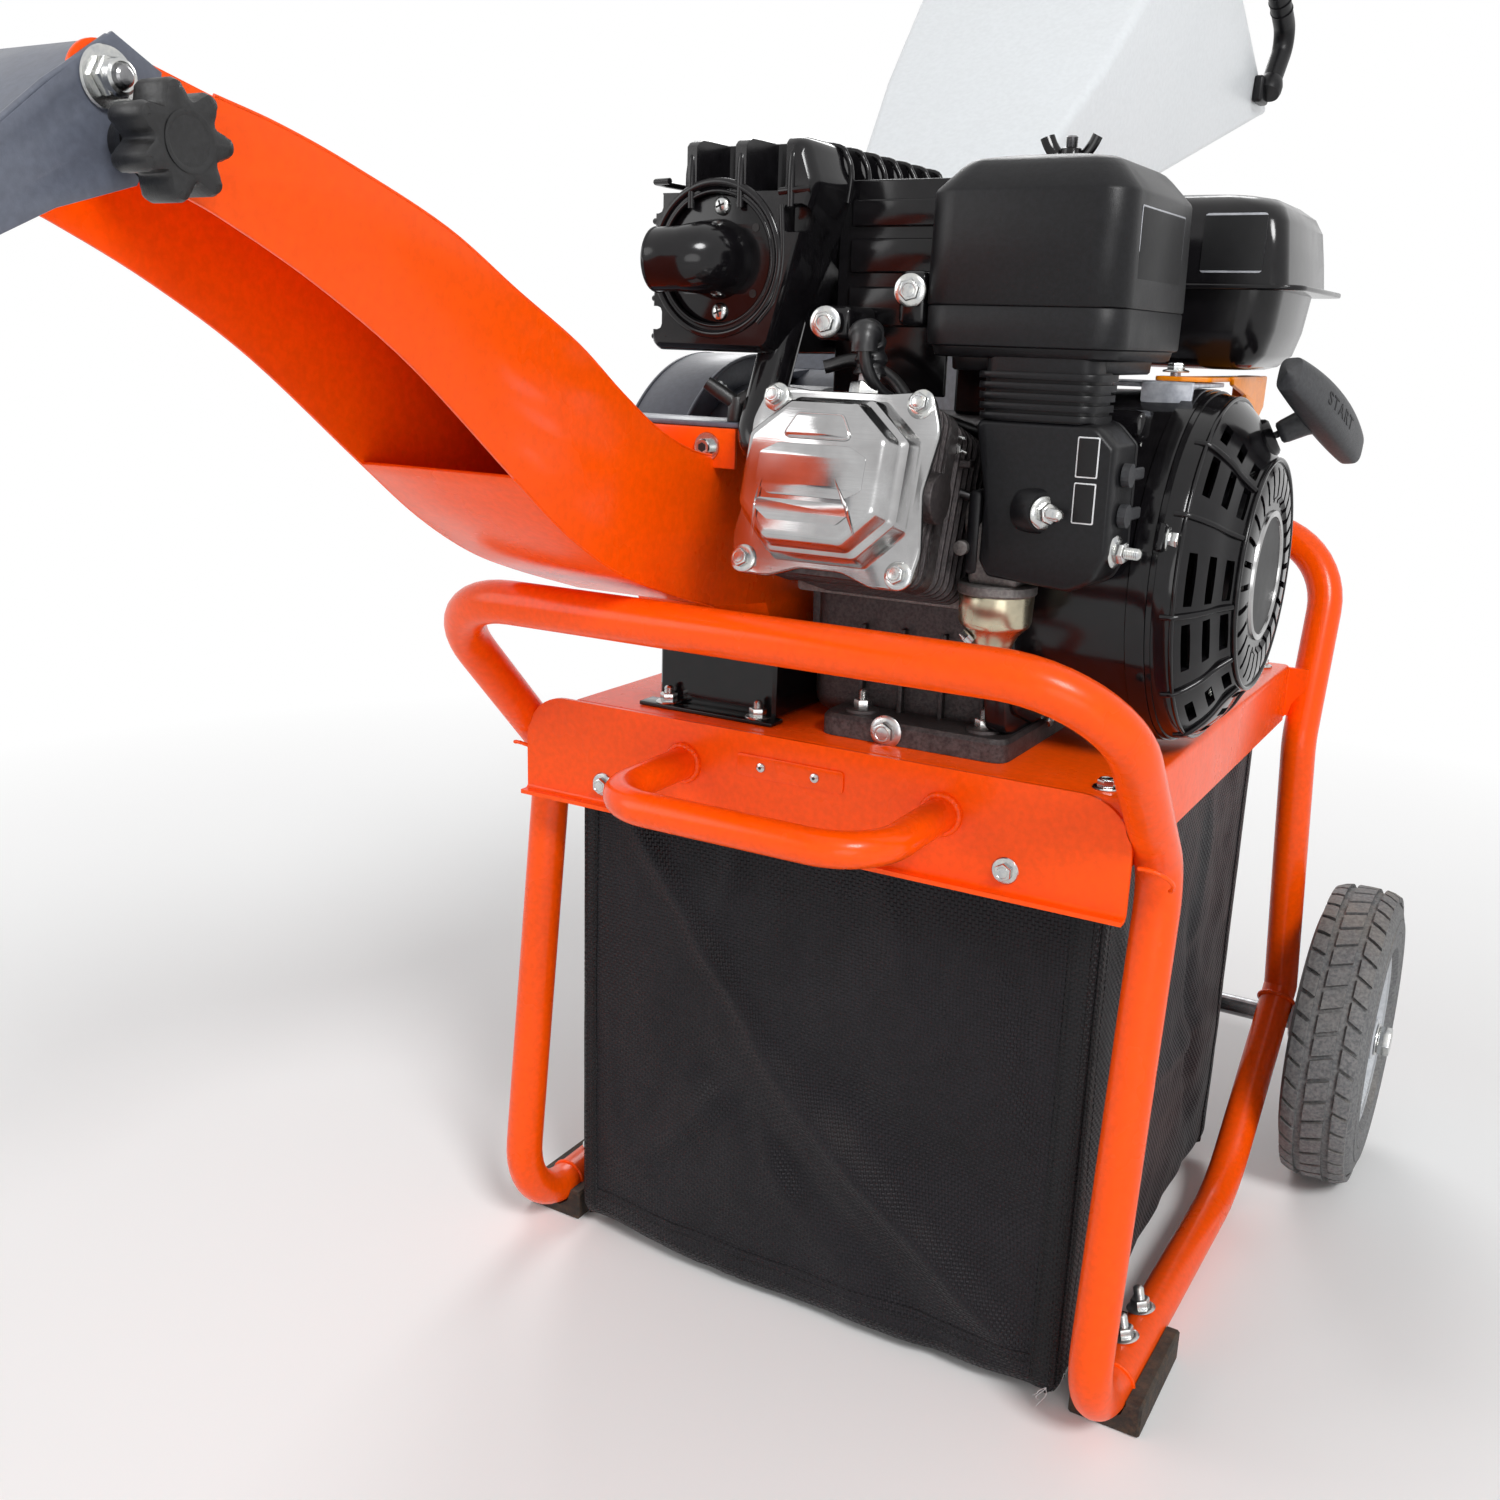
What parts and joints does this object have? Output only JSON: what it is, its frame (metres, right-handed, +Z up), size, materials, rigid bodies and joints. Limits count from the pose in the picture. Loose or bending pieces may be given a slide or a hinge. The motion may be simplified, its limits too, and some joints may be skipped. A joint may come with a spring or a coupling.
{
  "type": "petrol wood chipper",
  "caption": "Wheeled petrol wood chipper: recoil-start engine beside a bladed rotor housing with inclined hopper, upswept chute with tilting deflector, tube frame and cloth bag.",
  "frame": {"origin": "on the floor below the centre of the machine's bounding box", "axes": "+X to the machine's starter side, +Y from the chute towards the hopper and wheels, +Z up"},
  "size_m": [0.608, 1.3856, 1.0125],
  "materials": {
    "orange_paint": "gloss",
    "slate_paint": "satin",
    "white_paint": "satin",
    "black_paint": "gloss",
    "cast_aluminium": "cast",
    "bright_steel": "zinc plated",
    "stamped_cover": "polished stamping",
    "rim_silver": "silver paint",
    "black_plastic": "satin",
    "amber_plastic": "satin",
    "red_plastic": "gloss",
    "rubber": "matt",
    "tyre": "matt",
    "bag_fabric": "coated weave",
    "filter_foam": "open foam",
    "rope": "braided"
  },
  "bodies": {
    "machine": {"front_hoop": "orange_paint", "rear_hoop": "orange_paint", "rail_left": "orange_paint", "rail_right": "orange_paint", "axle": "orange_paint", "rear_crossmember": "orange_paint", "apron": "orange_paint", "pull_handle": "orange_paint", "deck_plate": "orange_paint", "rotor_housing": "orange_paint", "housing_cover": "slate_paint", "hopper_neck": "slate_paint", "hopper": "white_paint", "pedestal": "black_paint", "muffler": "black_paint", "muffler_guard": "black_paint", "blower_housing": "black_paint", "recoil_cover": "black_paint", "fuel_tank": "black_paint", "tank_bracket": "black_paint", "crankcase": "cast_aluminium", "cylinder": "cast_aluminium", "cylinder_head": "cast_aluminium", "carburettor": "cast_aluminium", "wheel_nut_left": "bright_steel", "wheel_nut_right": "bright_steel", "anvil": "bright_steel", "throttle_bracket": "bright_steel", "rocker_cover": "stamped_cover", "hopper_handle": "black_plastic", "filter_housing": "black_plastic", "filter_lid": "black_plastic", "switch_box": "black_plastic", "spark_plug": "black_plastic", "foot_left": "rubber", "foot_right": "rubber", "collection_bag": "bag_fabric", "filter_element": "filter_foam"},
    "wheel_left": {"tyre_left": "tyre", "rim_left": "rim_silver"},
    "wheel_right": {"tyre_right": "tyre", "rim_right": "rim_silver"},
    "deflector_body": {"deflector": "slate_paint", "deflector_pivot_bolt": "bright_steel"},
    "knob": {"deflector_knob": "black_plastic"},
    "crank_rotor": {"crankshaft": "bright_steel", "flywheel_fan": "cast_aluminium", "rotor": "bright_steel", "blade_a": "bright_steel", "blade_b": "bright_steel"},
    "starter_grip": {"recoil_grip": "black_plastic", "recoil_rope": "rope"},
    "starter_pulley": {"recoil_pulley": "black_plastic"},
    "tank_cap": {"fuel_cap": "black_plastic"},
    "wing_nut": {"filter_wing_nut": "black_plastic"},
    "throttle": {"throttle_lever": "amber_plastic"},
    "choke": {"choke_lever": "black_plastic"},
    "fuel_tap": {"fuel_lever": "black_plastic"},
    "switch": {"engine_switch": "red_plastic"},
    "oil_cap": {"oil_filler_cap": "black_plastic"}
  },
  "joints": [
    {"name": "wheel_left_spin", "type": "hinge", "parent": "machine", "child": "wheel_left", "pos_m": [-0.269, 0.24815, 0.117], "axis": [1, 0, 0], "continuous": true},
    {"name": "wheel_right_spin", "type": "hinge", "parent": "machine", "child": "wheel_right", "pos_m": [0.269, 0.24815, 0.117], "axis": [1, 0, 0], "continuous": true},
    {"name": "deflector_tilt", "type": "hinge", "parent": "machine", "child": "deflector_body", "pos_m": [-0.101, -0.58085, 0.706], "axis": [1, 0, 0], "range_deg": [-25, 20]},
    {"name": "knob_turn", "type": "hinge", "parent": "deflector_body", "child": "knob", "pos_m": [-0.0495, -0.57485, 0.687], "axis": [1, 0, 0], "continuous": true},
    {"name": "crank_spin", "type": "hinge", "parent": "machine", "child": "crank_rotor", "pos_m": [0, -0.05785, 0.5123], "axis": [1, 0, 0], "continuous": true},
    {"name": "starter_pull", "type": "slide", "parent": "machine", "child": "starter_grip", "axis": [1, 0, 0], "range_m": [0, 0.6]},
    {"name": "starter_pulley_turn", "type": "hinge", "parent": "machine", "child": "starter_pulley", "pos_m": [0.2045, -0.05785, 0.5123], "axis": [1, 0, 0], "range_deg": [0, 910]},
    {"name": "tank_cap_turn", "type": "hinge", "parent": "machine", "child": "tank_cap", "pos_m": [0.072, 0.03715, 0.7203], "axis": [0, 0, 1], "range_deg": [0, 90]},
    {"name": "wing_nut_turn", "type": "hinge", "parent": "machine", "child": "wing_nut", "pos_m": [0.11875, -0.13785, 0.726], "axis": [0, 0, 1], "continuous": true},
    {"name": "throttle_turn", "type": "hinge", "parent": "machine", "child": "throttle", "pos_m": [0.16, -0.04785, 0.6156], "axis": [0, 0, 1], "range_deg": [-8, 20]},
    {"name": "choke_turn", "type": "hinge", "parent": "machine", "child": "choke", "pos_m": [0.1753, -0.18185, 0.572], "axis": [1, 0, 0], "range_deg": [0, 60]},
    {"name": "fuel_tap_turn", "type": "hinge", "parent": "machine", "child": "fuel_tap", "pos_m": [0.1753, -0.18185, 0.552], "axis": [1, 0, 0], "range_deg": [-60, 0]},
    {"name": "switch_rock", "type": "hinge", "parent": "machine", "child": "switch", "pos_m": [0.065, 0.04095, 0.49], "axis": [1, 0, 0], "range_deg": [-20, 0]},
    {"name": "oil_cap_turn", "type": "hinge", "parent": "machine", "child": "oil_cap", "pos_m": [0.01, 0.02245, 0.455], "axis": [0, 1, 0], "continuous": true}
  ],
  "couplings": [
    {"joint": "starter_pulley_turn", "follows": "starter_pull", "rad_per_m": 26.316}
  ]
}
